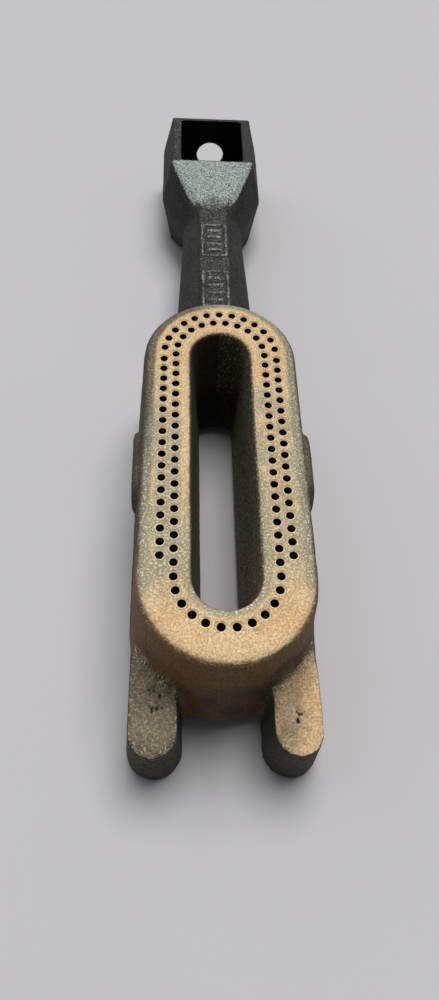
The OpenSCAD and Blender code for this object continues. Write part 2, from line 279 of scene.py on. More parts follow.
def hull(name, points):
    mesh = bmesh.new()
    for p in points:
        mesh.verts.new(p)
    result = bmesh.ops.convex_hull(mesh, input=mesh.verts)
    bmesh.ops.delete(mesh, geom=[v for v in result["geom_interior"]
                                 if isinstance(v, bmesh.types.BMVert)], context="VERTS")
    return finished(name, mesh)


def box(name, low, high):
    return hull(name, [(x, y, z) for x in (low[0], high[0]) for y in (low[1], high[1])
                       for z in (low[2], high[2])])


def shaft(name, low, high, radius):
    """An upright block with rounded corners."""
    middle = [(a + b) / 2 for a, b in zip(low, high)]
    half = [(b - a) / 2 - radius for a, b in zip(low, high)]
    outline = [(middle[0] + math.copysign(half[0], x) + x,
                middle[1] + math.copysign(half[1], y) + y) for x, y in circle(radius, 32, 0.5)]
    return loft(name, [[(x, y, z) for x, y in outline] for z in (low[2], high[2])])


def rod(name, radii, start, end, count=48):
    """A round solid from start to end, through radii spaced evenly along it."""
    start, end = Vector(start), Vector(end)
    direction = (end - start).normalized()
    turn = direction.to_track_quat("Z", "Y")
    sections = []
    for k, radius in enumerate(radii):
        centre = start.lerp(end, k / (len(radii) - 1))
        sections.append([centre + turn @ Vector((x, y, 0)) for x, y in circle(radius, count)])
    return loft(name, sections)


def straight_rod(name, radius, start, end, count=48):
    return rod(name, [radius, radius], start, end, count)


def combine(piece, other, operation):
    """Boolean with another solid, which is used up."""
    modifier = piece.modifiers.new("combine", "BOOLEAN")
    modifier.operation = operation
    modifier.solver = "MANIFOLD"
    modifier.material_mode = "TRANSFER"
    modifier.object = other
    bake_modifiers(piece)
    data = other.data
    bpy.data.objects.remove(other)
    bpy.data.meshes.remove(data)
    return piece


def union(piece, *others):
    for other in others:
        combine(piece, other, "UNION")
    return piece


def cut(piece, *others):
    for other in others:
        combine(piece, other, "DIFFERENCE")
    return piece


def made_of(material, piece):
    """Gives a solid its one material, which a cut made with it takes over."""
    piece.data.materials.clear()
    piece.data.materials.append(material)
    return piece


def bake_modifiers(piece):
    """Replaces a piece's mesh by its evaluated mesh, with no modifier left."""
    evaluated = piece.evaluated_get(bpy.context.evaluated_depsgraph_get())
    data = bpy.data.meshes.new_from_object(evaluated)
    old = piece.data
    piece.modifiers.clear()
    piece.data = data
    bpy.data.meshes.remove(old)


def remesh(piece, voxel):
    modifier = piece.modifiers.new("skin", "REMESH")
    modifier.mode = "VOXEL"
    modifier.voxel_size = voxel
    bake_modifiers(piece)


# ---- Cast skin ---------------------------------------------------------------------------

SHARP_ANGLE = math.radians(40)
CALMED = 0.75      # share of the lumps that a calm place loses


def read_vectors(items, name):
    values = np.empty(len(items) * 3, np.float32)
    items.foreach_get(name, values)
    return values.reshape(-1, 3).astype(float)


def coordinates(data):
    return read_vectors(data.vertices, "co")


def vertex_normals(data):
    return read_vectors(data.vertex_normals, "vector")


def set_coordinates(data, co):
    data.vertices.foreach_set("co", co.astype(np.float32).ravel())
    data.update()


def relax(piece, rounds, weight=None):
    """Rounds edges off by moving each vertex towards the middle of its neighbours."""
    data = piece.data
    co = coordinates(data)
    edges = np.empty(len(data.edges) * 2, np.int32)
    data.edges.foreach_get("vertices", edges)
    a, b = edges.reshape(-1, 2).T
    count = len(co)
    valence = np.bincount(a, minlength=count) + np.bincount(b, minlength=count)
    share = 0.5 if weight is None else 0.5 * weight[:, None]
    for _ in range(rounds):
        total = np.stack([np.bincount(a, co[b, k], count) + np.bincount(b, co[a, k], count)
                          for k in range(3)], axis=1)
        co += share * (total / valence[:, None] - co)
    set_coordinates(data, co)


def rise(value, low, high):
    """0 below low, 1 above high, smooth between. With low above high, it falls."""
    t = np.clip((value - low) / (high - low), 0, 1)
    return t * t * (3 - 2 * t)


def lumps(co, size, seed):
    """Smooth noise from -1 to 1 at each point, with lumps of about the given size."""
    scaled = co / size + seed * 17.3
    return np.array([noise.noise(Vector(p)) for p in scaled])


def cast_skin(piece, depth, calm):
    """Uneven sand-cast surface: slow lumps and finer ones, quieter where calm is near 1."""
    co = coordinates(piece.data)
    normals = vertex_normals(piece.data)
    height = (0.5 * lumps(co, 9 * MM, 1) + 0.5 * lumps(co, 3.2 * MM, 2)
              + 0.55 * lumps(co, 1.7 * MM, 3))
    height *= depth * (1 - CALMED * calm(co, normals))
    set_coordinates(piece.data, co + normals * height[:, None])


def keep_in_box(piece):
    co = coordinates(piece.data)
    set_coordinates(piece.data, np.clip(co, CAD_LOW, CAD_HIGH))


def set_mask(piece, name, values):
    attribute = piece.data.attributes.new(name, "FLOAT", "POINT")
    attribute.data.foreach_set("value", np.clip(values, 0, 1).astype(np.float32))


def shade(piece):
    """Smooth shading, with edges over SHARP_ANGLE left sharp."""
    data = piece.data
    data.polygons.foreach_set("use_smooth", np.ones(len(data.polygons), bool))
    data.set_sharp_from_angle(angle=SHARP_ANGLE)
    data.update()


def hand_over(piece, node):
    """A piece rides on the only body and stands in for its CAD node, which is hidden."""
    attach(piece, "root")
    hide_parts(node)


# ---- Node trees --------------------------------------------------------------------------

RELIEF = 0.35 * MM    # distance that a bump of full height stands for


class Tree:
    """Short calls for building a node tree."""

    def __init__(self, tree):
        self.tree = tree

    def add(self, kind, inputs=None, **settings):
        node = self.tree.nodes.new(kind)
        for name, value in settings.items():
            setattr(node, name, value)
        for key, value in (inputs or {}).items():
            self.feed(node.inputs[key], value)
        return node

    def feed(self, socket, value):
        if isinstance(value, bpy.types.NodeSocket):
            self.tree.links.new(value, socket)
        elif isinstance(value, bpy.types.Node):
            self.tree.links.new(value.outputs[0], socket)
        elif socket.type == "RGBA" and len(value) == 3:
            socket.default_value = (*value, 1)
        else:
            socket.default_value = value

    def math(self, operation, a, b=0.0):
        return self.add("ShaderNodeMath", {0: a, 1: b}, operation=operation).outputs[0]

    def times(self, a, b):
        return self.math("MULTIPLY", a, b)

    def plus(self, a, b):
        return self.math("ADD", a, b)

    def minus(self, a, b):
        return self.math("SUBTRACT", a, b)

    def mix(self, factor, a, b, blend="MIX"):
        node = self.add("ShaderNodeMix", data_type="RGBA", blend_type=blend)
        self.feed(node.inputs["Factor"], factor)
        self.feed(node.inputs[6], a)
        self.feed(node.inputs[7], b)
        return node.outputs[2]

    def noise(self, vector, scale, detail=3.0, roughness=0.55, distortion=0.0):
        return self.add("ShaderNodeTexNoise",
                        {"Vector": vector, "Scale": scale, "Detail": detail,
                         "Roughness": roughness, "Distortion": distortion}).outputs[0]

    def between(self, value, low, high):
        """0 below low and 1 above high."""
        return self.add("ShaderNodeMapRange",
                        {"Value": value, "From Min": low, "From Max": high},
                        interpolation_type="SMOOTHSTEP").outputs[0]

    def mask(self, name):
        return self.add("ShaderNodeAttribute", attribute_name=name).outputs["Fac"]

    def group(self, group, inputs):
        return self.add("ShaderNodeGroup", inputs, node_tree=group)


def new_group(name, kind, inputs, outputs):
    """A node group with named sockets: inputs are (name, type, default)."""
    group = bpy.data.node_groups.new(name, kind)
    for label, socket_type, default in inputs:
        socket = group.interface.new_socket(label, in_out="INPUT", socket_type=socket_type)
        if default is not None:
            socket.default_value = default
    for label, socket_type in outputs:
        group.interface.new_socket(label, in_out="OUTPUT", socket_type=socket_type)
    tree = Tree(group)
    return tree, tree.add("NodeGroupInput"), tree.add("NodeGroupOutput")


def sand_skin_group():
    """Grains, pits and slow patches of a sand-cast or rolled surface."""
    tree, given, out = new_group(
        "Sand Skin", "ShaderNodeTree",
        [("Position", "NodeSocketVector", None), ("Grain Scale", "NodeSocketFloat", 900.0),
         ("Patch Scale", "NodeSocketFloat", 70.0), ("Pit Depth", "NodeSocketFloat", 0.5)],
        [("Height", "NodeSocketFloat"), ("Grain", "NodeSocketFloat"),
         ("Fleck", "NodeSocketFloat"), ("Patch", "NodeSocketFloat")])
    position, scale = given.outputs["Position"], given.outputs["Grain Scale"]
    grain = tree.noise(position, scale, 2.0, 0.65)
    coarse = tree.noise(position, tree.times(scale, 0.42), 2.0, 0.5)
    cells = tree.add("ShaderNodeTexVoronoi", {"Vector": position, "Scale": tree.times(scale, 0.8)})
    crumbs = tree.between(cells.outputs["Distance"], 0.55, 0.1)
    pits = tree.between(tree.noise(position, tree.times(scale, 0.3), 1.0, 0.5), 0.36, 0.28)
    height = tree.plus(tree.times(grain, 0.6), tree.times(coarse, 0.7))
    height = tree.plus(height, tree.times(crumbs, 0.25))
    height = tree.minus(height, tree.times(pits, given.outputs["Pit Depth"]))
    tree.feed(out.inputs["Height"], height)
    tree.feed(out.inputs["Grain"], tree.between(grain, 0.3, 0.7))
    pale = tree.plus(grain, tree.times(coarse, 0.3))
    tree.feed(out.inputs["Fleck"], tree.between(pale, 0.68, 0.86))
    patch = tree.noise(position, given.outputs["Patch Scale"], 4.0, 0.6, 0.4)
    tree.feed(out.inputs["Patch"], tree.between(patch, 0.35, 0.65))
    return tree.tree


def broken_edge_group():
    """A soft mask given a crumbled edge, as scale and rust have."""
    tree, given, out = new_group(
        "Broken Edge", "ShaderNodeTree",
        [("Position", "NodeSocketVector", None), ("Mask", "NodeSocketFloat", 0.0),
         ("Scale", "NodeSocketFloat", 260.0), ("Crumble", "NodeSocketFloat", 0.6),
         ("Softness", "NodeSocketFloat", 0.25)],
        [("Mask", "NodeSocketFloat")])
    value = given.outputs
    uneven = tree.minus(tree.noise(value["Position"], value["Scale"], 5.0, 0.7), 0.5)
    shifted = tree.plus(value["Mask"], tree.times(uneven, value["Crumble"]))
    low = tree.minus(0.5, value["Softness"])
    high = tree.plus(0.5, value["Softness"])
    tree.feed(out.inputs["Mask"], tree.between(shifted, low, high))
    return tree.tree


def shared_group(name, build):
    return bpy.data.node_groups.get(name) or build()


def iron_material(name, paint, grain_scale=1500.0, patch_scale=70.0, pit_depth=0.5,
                  bump=0.35, metallic=0.0, roughness=(0.62, 0.85), specular=0.35):
    """A rough iron finish. paint(tree, position, skin, broken) returns the base colour."""
    material = bpy.data.materials.new(name)
    material.use_nodes = True
    material.node_tree.nodes.clear()
    tree = Tree(material.node_tree)
    position = tree.add("ShaderNodeTexCoord").outputs["Object"]
    skin = tree.group(shared_group("Sand Skin", sand_skin_group),
                      {"Position": position, "Grain Scale": grain_scale,
                       "Patch Scale": patch_scale, "Pit Depth": pit_depth})

    def broken(mask, scale=260.0, crumble=0.6, softness=0.25):
        return tree.group(shared_group("Broken Edge", broken_edge_group),
                          {"Position": position, "Mask": mask, "Scale": scale,
                           "Crumble": crumble, "Softness": softness}).outputs["Mask"]

    shader = tree.add("ShaderNodeBsdfPrincipled", {"Metallic": metallic,
                                                   "Specular IOR Level": specular})
    tree.feed(shader.inputs["Base Color"], paint(tree, position, skin.outputs, broken))
    rough = tree.add("ShaderNodeMapRange", {"Value": skin.outputs["Grain"],
                                            "To Min": roughness[1], "To Max": roughness[0]})
    tree.feed(shader.inputs["Roughness"], rough)
    relief = tree.add("ShaderNodeBump", {"Height": skin.outputs["Height"], "Strength": bump,
                                         "Distance": RELIEF})
    tree.feed(shader.inputs["Normal"], relief)
    tree.add("ShaderNodeOutputMaterial", {"Surface": shader.outputs[0]})
    return material


def shared_material(name, build, colours):
    return bpy.data.materials.get(name) or build(colours)


def dimmed(tone, share):
    return tuple(share * v for v in tone)


def ring_iron(colours):
    """Heated deck, worn bands, rusty walls and grey feet of the ring casting, with painted shade
    and painted glints.
    """
    def paint(tree, position, skin, broken):
        wall = tree.mix(skin["Patch"], dimmed(colours.wall_dark, 0.75), colours.wall_dark)
        wall = tree.mix(broken(tree.mask("rust"), 120, 0.7), wall, colours.rust)
        feet = tree.mix(skin["Patch"], dimmed(colours.foot_grey, 0.7), colours.foot_grey)
        base = tree.mix(tree.mask("foot"), wall, feet)
        tan = tree.mix(skin["Patch"], colours.deck_orange, colours.deck_tan)
        tan = tree.mix(tree.times(tree.mask("glow"), 0.7), tan, colours.deck_orange)
        base = tree.mix(broken(tree.mask("scorch"), 600, 0.8, 0.5), base, tan)
        worn = tree.mask("worn")
        base = tree.mix(tree.times(worn, 0.6), base, colours.worn_grey)
        base = tree.mix(tree.times(broken(worn, 600, 1.3, 0.2), 0.5), base,
                        dimmed(colours.worn_grey, 0.62))
        grain = tree.mix(skin["Grain"], (0.66, 0.64, 0.60), (1.15, 1.15, 1.14))
        base = tree.mix(1.0, base, grain, "MULTIPLY")
        # Pale flecks: grains in worn skin, and painted glints on the coves by the feet.
        flecks = tree.times(skin["Fleck"], tree.mask("fleck_and_glint"))
        base = tree.mix(flecks, base, colours.fleck_and_glint)
        # Painted shade: the soot colour in dark places under the ring, deep in the slot and in
        # pits.
        return tree.mix(broken(tree.mask("soot_and_shade"), 200, 0.3), base, colours.soot_and_shade)
    return iron_material("scorched_iron", paint, bump=0.6)


def port_rim(colours):
    """The scale chipped pale round a port's mouth."""
    def paint(tree, position, skin, broken):
        return tree.mix(skin["Grain"], colours.deck_tan, colours.port_edge)
    return iron_material("port_rim", paint, bump=0.15)


def soot_material(colours):
    def paint(tree, position, skin, broken):
        return tree.mix(skin["Patch"], colours.soot_and_shade, dimmed(colours.wall_dark, 0.3))
    return iron_material("soot_and_shade", paint, bump=0.3, roughness=(0.9, 0.98))


def machined_iron(colours):
    """Ledges, bores and ends that were cut after casting, since rusted."""
    def paint(tree, position, skin, broken):
        base = tree.mix(skin["Patch"], colours.wall_dark, colours.rust)
        return tree.mix(tree.times(skin["Fleck"], 0.5), base, colours.foot_grey)
    return iron_material("cut_iron", paint, bump=0.2, metallic=0.3, roughness=(0.45, 0.7))


def mixer_iron(colours):
    """Dark tube with a painted reflection and painted glints on its slope, and pale worn edges."""
    def paint(tree, position, skin, broken):
        base = tree.mix(skin["Patch"], dimmed(colours.tube_dark, 0.72), colours.tube_dark)
        grain = tree.mix(skin["Grain"], (0.66, 0.66, 0.64), (1.25, 1.26, 1.22))
        base = tree.mix(1.0, base, grain, "MULTIPLY")
        base = tree.mix(tree.times(broken(tree.mask("rust"), 90, 0.8), 0.5), base,
                        colours.rust)
        # Painted reflection of the light on the slope, speckled by the grain; pale wear on the
        # ridges and borders.
        pale = tree.mix(skin["Grain"], dimmed(colours.tube_sheen_and_wear, 0.18),
                        dimmed(colours.tube_sheen_and_wear, 1.12))
        base = tree.mix(broken(tree.mask("sheen_and_wear"), 700, 1.3, 0.35), base, pale)
        # Pale flecks: painted glints on the slope, and pale grains on the worn edges.
        flecks = tree.times(skin["Fleck"], tree.mask("fleck_and_glint"))
        return tree.mix(flecks, base, dimmed(colours.tube_sheen_and_wear, 1.3))
    return iron_material("mixer_skin", paint, grain_scale=1600.0, bump=0.6,
                         roughness=(0.55, 0.8), specular=0.2)


def aged(name, tone, dark, stain, scale, crumble, share=1.0, **finish):
    """A plain tone with darker grains, and patches of a stain that end in a broken edge."""
    def paint(tree, position, skin, broken):
        base = tree.mix(skin["Grain"], dimmed(tone, dark), tone)
        patches = broken(skin["Patch"], scale, crumble)
        if share < 1:
            patches = tree.times(patches, share)
        return tree.mix(patches, base, stain)
    return iron_material(name, paint, **finish)


def cover_iron(colours):
    return aged("rolled_cover", colours.cover, 0.8, colours.cover_rust, 160, 0.7,
                grain_scale=1400.0, patch_scale=45.0, pit_depth=0.2, bump=0.2, metallic=0.4,
                roughness=(0.45, 0.75))


def gasket_fibre(colours):
    return aged("gasket_fibre", colours.gasket, 0.75, dimmed(colours.gasket, 0.45), 220, 0.5,
                grain_scale=2200.0, pit_depth=0.0, bump=0.4, roughness=(0.88, 0.96))


def screw_steel(colours):
    return aged("blackened_steel", colours.screw, 0.6, colours.cover_rust, 500, 0.8, 0.6,
                grain_scale=2500.0, patch_scale=260.0, pit_depth=0.2, bump=0.15, metallic=0.8,
                roughness=(0.35, 0.6))


def cement_material(colours):
    return aged("furnace_cement", colours.cement, 0.6, dimmed(colours.cement, 0.5), 300, 0.6,
                grain_scale=1600.0, bump=0.7, roughness=(0.9, 0.98))


# ---- Ring casting ------------------------------------------------------------------------

PLAY = 1 * MM          # how far a solid runs into or past the one that it meets
COVE_SPREAD = (4.6, 1.7, 0.4, -1.0)    # mm outside the wall, from a foot's top upwards
SCREW_REACH = 16.7 * MM                # height that the cover screws' holes reach
NEAR_SCREW_ANGLE = math.radians(45)    # from the long axis, for the screws in the ends
FAR_SCREW_ANGLE = math.radians(55)
PORT_FACES = 20
PORT_DEPTH = 6.5 * MM                  # from the deck to the end of a port's cutter
MOUTH_DEPTH = 0.32 * MM                # depth of the worn mouth of a port
PORT_LENGTHS = ("Pitch", "Inner Row", "Outer Row", "End Step", "Outer End Step")
PORT_COUNTS = ("Side Ports", "End Ports", "Outer End Ports")


def ring_terms(co):
    """Along-ring place, distance from the long axis and height of each point, in mm."""
    along = (co[:, 1] - NEAR_Y) / MM
    past = along - (FAR_Y - NEAR_Y) / MM
    across = co[:, 0] / MM
    over = np.where(along < 0, along, np.where(past > 0, past, 0))
    return along, past, np.hypot(across, over), co[:, 2] / MM


def outer_half(sizes, z):
    return sizes.deck_half + sizes.draft * (DECK_Z - z) / (DECK_Z - sizes.lip_height)


def slot_half(sizes, z):
    share = (z - sizes.lip_height) / (DECK_Z - sizes.lip_height)
    return sizes.slot_foot_half + (sizes.slot_half - sizes.slot_foot_half) * share


def ring_body(sizes):
    profile = [(outer_half(sizes, sizes.lip_height), sizes.lip_height)]
    start = DECK_Z - sizes.shoulder
    centre = outer_half(sizes, start) - sizes.shoulder
    for k in range(7):
        angle = math.pi / 2 * k / 6
        profile.append((centre + sizes.shoulder * math.cos(angle),
                        start + sizes.shoulder * math.sin(angle)))
    return racetrack_solid("ring", profile)


def slot_body(sizes):
    """The slot, whose far wall leans in towards the bottom."""
    margin = 3 * MM
    apex = FAR_Y + sizes.slot_half + 0.6 * MM
    sections = []
    for k in range(13):
        z = -margin + (DECK_Z + 2 * margin) * k / 12
        centre = (apex - (DECK_Z - z) * math.tan(sizes.far_wall_lean)
                  - sizes.far_wall_radius / math.cos(sizes.far_wall_lean))
        outline = racetrack_outline(slot_half(sizes, z), centre, sizes.far_wall_radius)
        sections.append([(x, y, z) for x, y in outline])
    return loft("slot", sections)


def foot_body(sizes, side):
    """One foot: a rounded front, straight sides back under the ring, drafted walls."""
    x = side * (sizes.feet_half_span - sizes.foot_half)
    y = NEAR_Y - sizes.foot_reach + sizes.foot_half
    sections = []
    turns = [math.pi * k / 24 for k in range(25)]
    for radius, z in ((sizes.foot_half + sizes.foot_draft, 0),
                      (sizes.foot_half, sizes.foot_height)):
        front = [(x - radius * math.cos(a), y - radius * math.sin(a)) for a in turns]
        outline = front + [(x + radius, NEAR_Y), (x - radius, NEAR_Y)]
        sections.append([(px, py, z) for px, py in outline])
    return loft("foot", sections)


def pad_body(sizes, side):
    """A rounded cast pad standing out of the ring's side wall."""
    middle = (NEAR_Y + FAR_Y) / 2
    radius = sizes.pad_height / 2
    half = sizes.pad_length / 2 - radius
    sections = []
    for x, spread in ((sizes.deck_half - 2 * MM, 0.7 * MM), (sizes.pad_face, 0)):
        outline = []
        for k in range(32):
            angle = 2 * math.pi * k / 32 + math.pi / 32
            shift = half if math.cos(angle) > 0 else -half
            outline.append((side * x, middle + shift + (radius + spread) * math.cos(angle),
                            sizes.pad_middle + (radius + spread) * math.sin(angle)))
        sections.append(outline)
    return loft("pad", sections)


def foot_cove(sizes, side):
    """The sloping fillet where a foot's top runs into the ring's wall."""
    low, high = sizes.foot_height - PLAY, sizes.foot_height + COVE_SPREAD[0] * MM
    wall = outer_half(sizes, sizes.foot_height)
    cone = rod("cove", [wall + spread * MM for spread in COVE_SPREAD],
               (0, NEAR_Y, low), (0, NEAR_Y, high), 96)
    x = side * (sizes.feet_half_span - sizes.foot_half)
    half = sizes.foot_half - 0.4 * MM
    reach = box("reach", (x - half, NEAR_Y - 0.06, 0), (x + half, NEAR_Y, 2 * high))
    return combine(cone, reach, "INTERSECT")


def ring_casting(sizes, axis_height):
    """The outside of the casting, with the slot and the feet's undersides cut away."""
    far_face = FAR_Y + outer_half(sizes, axis_height)
    body = ring_body(sizes)
    union(body, *[build(sizes, side) for build in (foot_body, foot_cove, pad_body)
                  for side in (-1, 1)],
          straight_rod("nozzle", sizes.nozzle_outer, (0, far_face - 8 * MM, axis_height),
                       (0, NOZZLE_END, axis_height)))
    inner = outer_half(sizes, sizes.ledge_height) - sizes.wall + sizes.ledge + PLAY
    cut(body,
        straight_rod("under", inner, (0, NEAR_Y, -PLAY), (0, NEAR_Y, sizes.lip_height)),
        box("behind", (-0.08, NEAR_Y - 15 * MM, -PLAY), (0.08, FAR_Y + 0.08, sizes.lip_height)),
        slot_body(sizes))
    return body


def fillet_weight(co, sizes):
    """Where the feet run into the wall, low on the wall at the near end, and round the slot's
    edge.
    """
    along, _, distance, z = ring_terms(co)
    gap = distance - outer_half(sizes, co[:, 2]) / MM
    top = sizes.foot_height / MM
    meeting = rise(np.abs(z - top - 1), 6.0, 2.5) * rise(gap, 6.5, 3.5) * (along < 2)
    beside = rise(gap, 5, 1.5) * (along < -8) * (z < top) * (z > 3)
    slot_edge = (rise(np.abs(distance - slot_half(sizes, DECK_Z) / MM - 0.3), 2.2, 0.8)
                 * rise(z, DECK_Z / MM - 3, DECK_Z / MM - 1.5))
    return np.clip(meeting + beside + 0.35 * slot_edge, 0, 1)


def foot_pits(co, normals):
    """Small pits and a chipped front edge on the feet's tops, and one pit in the deck."""
    draws = random.Random(7)
    sink = np.zeros(len(co))
    across, along, z = co[:, 0] / MM, (co[:, 1] - NEAR_Y) / MM, co[:, 2] / MM
    clusters = [  # middle x, middle y, spread x, spread y, how many, height of the surface
        (-21.6, -33.5, 2.6, 4.2, 15, 25.8), (22.7, -36.0, 1.3, 3.8, 10, 25.8),
        (-22.5, -28.0, 3.2, 2.0, 8, 25.8)]
    for x, y, spread_x, spread_y, count, surface in clusters:
        for _ in range(count):
            px, py = draws.gauss(x, spread_x / 2), draws.gauss(y, spread_y / 2)
            radius, depth = draws.uniform(0.5, 1.0), draws.uniform(0.4, 1.1)
            away = np.hypot((across - px) / radius, (along - py) / (radius * 1.5))
            near = (np.abs(z - surface) < 1.5) & (normals[:, 2] > 0.5)
            sink = np.maximum(sink, depth * rise(away, 1, 0.1) * near)
    for px, py, radius, depth in ((8.0, -17.7, 1.25, 0.9), (9.3, -18.9, 0.7, 0.4)):
        away = np.hypot((across - px) / (1.3 * radius), (along - py) / (0.8 * radius))
        sink = np.maximum(sink, depth * rise(away, 1.1, 0.2) * (z > 50))
    ragged = 1.2 * lumps(co, 2.6 * MM, 5) + 0.5 * lumps(co, 1.1 * MM, 6)
    edge = np.hypot(across + 22.5, np.minimum(along + 40, 0)) + ragged
    chip = (across < -14.5) * (z > 24) * rise(edge, 5.6, 6.5) * (along < -42)
    return sink, 0.9 * chip


def quiet_deck(co, normals):
    """The machined-looking deck is flatter than the rest of the casting."""
    return rise(co[:, 2], DECK_Z - 1.5 * MM, DECK_Z - 0.5 * MM) * rise(normals[:, 2], 0.7, 0.95)


def port_cutter(sizes, materials):
    """One port: a bore with a shallow worn mouth above it. The mouth's faces are marked."""
    radius, mouth = sizes.diameter / 2, sizes.diameter / 2 + sizes.rim
    profile = [(radius, DECK_Z - PORT_DEPTH), (radius, DECK_Z - MOUTH_DEPTH),
               (mouth, DECK_Z - 0.02 * MM), (mouth + 0.2 * MM, DECK_Z + 0.8 * MM)]
    cutter = loft("port", [[(x, y, z) for x, y in circle(r, PORT_FACES)] for r, z in profile])
    marked = cutter.data.attributes.new("mouth", "FLOAT", "FACE")
    centres = read_vectors(cutter.data.polygons, "center")
    marked.data.foreach_set("value", (centres[:, 2] > DECK_Z - 0.3 * MM).astype(np.float32))
    for material in materials:
        cutter.data.materials.append(material)
    return cutter


def port_tree():
    """Geometry nodes that set a cutter at every port of both rows."""
    tree, given, out = new_group(
        "Burner Ports", "GeometryNodeTree",
        [("Cutter", "NodeSocketObject", None),
         *[(name, "NodeSocketFloat", 0.0) for name in ("Near Y", "Far Y", *PORT_LENGTHS)],
         *[(name, "NodeSocketInt", 2) for name in PORT_COUNTS],
         ("Bore", "NodeSocketMaterial", None), ("Mouth", "NodeSocketMaterial", None)],
        [("Geometry", "NodeSocketGeometry")])
    value = given.outputs

    def place(x, y):
        return tree.add("ShaderNodeCombineXYZ", {0: x, 1: y})

    def straight_row(x, first_y, count):
        return tree.add("GeometryNodeMeshLine",
                        {"Count": count, "Start Location": place(x, first_y),
                         "Offset": place(0.0, value["Pitch"])}, mode="OFFSET")

    def end_row(row, centre_y, sign, count, step):
        line = tree.add("GeometryNodeMeshLine", {"Count": count})
        middle = tree.math("DIVIDE", tree.minus(count, 1.0), 2.0)
        index = tree.add("GeometryNodeInputIndex")
        turn = tree.times(tree.minus(index, middle), step)
        x = tree.times(row, tree.math("SINE", turn))
        reach = tree.times(tree.times(row, sign), tree.math("COSINE", turn))
        y = tree.plus(centre_y, reach)
        return tree.add("GeometryNodeSetPosition", {"Geometry": line, "Position": place(x, y)})

    rows = []
    for side in (-1.0, 1.0):
        rows.append(straight_row(tree.times(value["Inner Row"], side), value["Near Y"],
                                 value["Side Ports"]))
        rows.append(straight_row(tree.times(value["Outer Row"], side),
                                 tree.plus(value["Near Y"], tree.times(value["Pitch"], 1.5)),
                                 tree.minus(value["Side Ports"], 2.0)))
    for row, centre_y, sign, prefix in (("Inner Row", "Near Y", -1.0, ""),
                                        ("Inner Row", "Far Y", 1.0, ""),
                                        ("Outer Row", "Far Y", 1.0, "Outer ")):
        rows.append(end_row(value[row], value[centre_y], sign, value[prefix + "End Ports"],
                            value[prefix + "End Step"]))
    joined = tree.add("GeometryNodeJoinGeometry")
    for row in rows:
        tree.tree.links.new(row.outputs[0], joined.inputs[0])
    shape = tree.add("GeometryNodeObjectInfo", {"Object": value["Cutter"]})
    placed = tree.add("GeometryNodeInstanceOnPoints",
                      {"Points": joined, "Instance": shape.outputs["Geometry"]})
    real = tree.add("GeometryNodeRealizeInstances", {0: placed})
    bored = tree.add("GeometryNodeSetMaterial", {"Geometry": real, "Material": value["Bore"]})
    mouth = tree.add("GeometryNodeInputNamedAttribute", {"Name": "mouth"}, data_type="FLOAT")
    last = tree.add("GeometryNodeSetMaterial",
                    {"Geometry": bored, "Selection": tree.math("GREATER_THAN", mouth, 0.5),
                     "Material": value["Mouth"]})
    tree.feed(out.inputs["Geometry"], last)
    return tree.tree


def grown(name, tree, values):
    """An object whose mesh is what a geometry node tree makes from the given values."""
    piece = bpy.data.objects.new(name, bpy.data.meshes.new(name))
    bpy.context.scene.collection.objects.link(piece)
    modifier = piece.modifiers.new(name, "NODES")
    modifier.node_group = tree
    for socket in tree.interface.items_tree:
        if socket.item_type == "SOCKET" and socket.in_out == "INPUT" and socket.name in values:
            modifier[socket.identifier] = values[socket.name]
    bake_modifiers(piece)
    return piece


def all_ports(ports, bore, mouth):
    cutter = port_cutter(ports, [bore, mouth])
    values = {name: getattr(ports, name.lower().replace(" ", "_"))
              for name in PORT_LENGTHS + PORT_COUNTS}
    made = grown("ports", port_tree(), {"Cutter": cutter, "Near Y": NEAR_Y, "Far Y": FAR_Y,
                                        "Bore": bore, "Mouth": mouth, **values})
    bpy.data.objects.remove(cutter)
    return made


def channel_solids(sizes):
    """The gas channel, and the rebate for the cover below it."""
    outer_low = outer_half(sizes, sizes.ledge_height) - sizes.wall
    inner_low = slot_half(sizes, sizes.ledge_height) + sizes.wall
    top = DECK_Z - sizes.deck_thickness
    overlap = 0.5 * MM
    channel = racetrack_solid("channel", [(outer_low, sizes.ledge_height - overlap),
                                          (outer_half(sizes, top) - sizes.wall, top)])
    core = racetrack_solid("core", [(inner_low, -4 * MM),
                                    (slot_half(sizes, top) + sizes.wall, top + 1 * MM)])
    cut(channel, core)
    rebate = racetrack_solid("rebate", [(outer_low + sizes.ledge, -2 * MM),
                                        (outer_low + sizes.ledge, sizes.ledge_height)])
    cut(rebate, racetrack_solid("core", [(inner_low - sizes.ledge, -3 * MM),
                                         (inner_low - sizes.ledge, sizes.ledge_height + MM)]))
    return channel, rebate


def screw_places(sizes):
    row = outer_half(sizes, sizes.ledge_height) - sizes.wall - sizes.boss_inset
    places = [(side * row, NEAR_Y + share * (FAR_Y - NEAR_Y))
              for side in (-1, 1) for share in (0.25, 0.75)]
    near, far = NEAR_SCREW_ANGLE, FAR_SCREW_ANGLE
    for side in (-1, 1):
        places.append((side * row * math.sin(near), NEAR_Y - row * math.cos(near)))
        places.append((side * row * math.sin(far), FAR_Y + row * math.cos(far)))
    return places


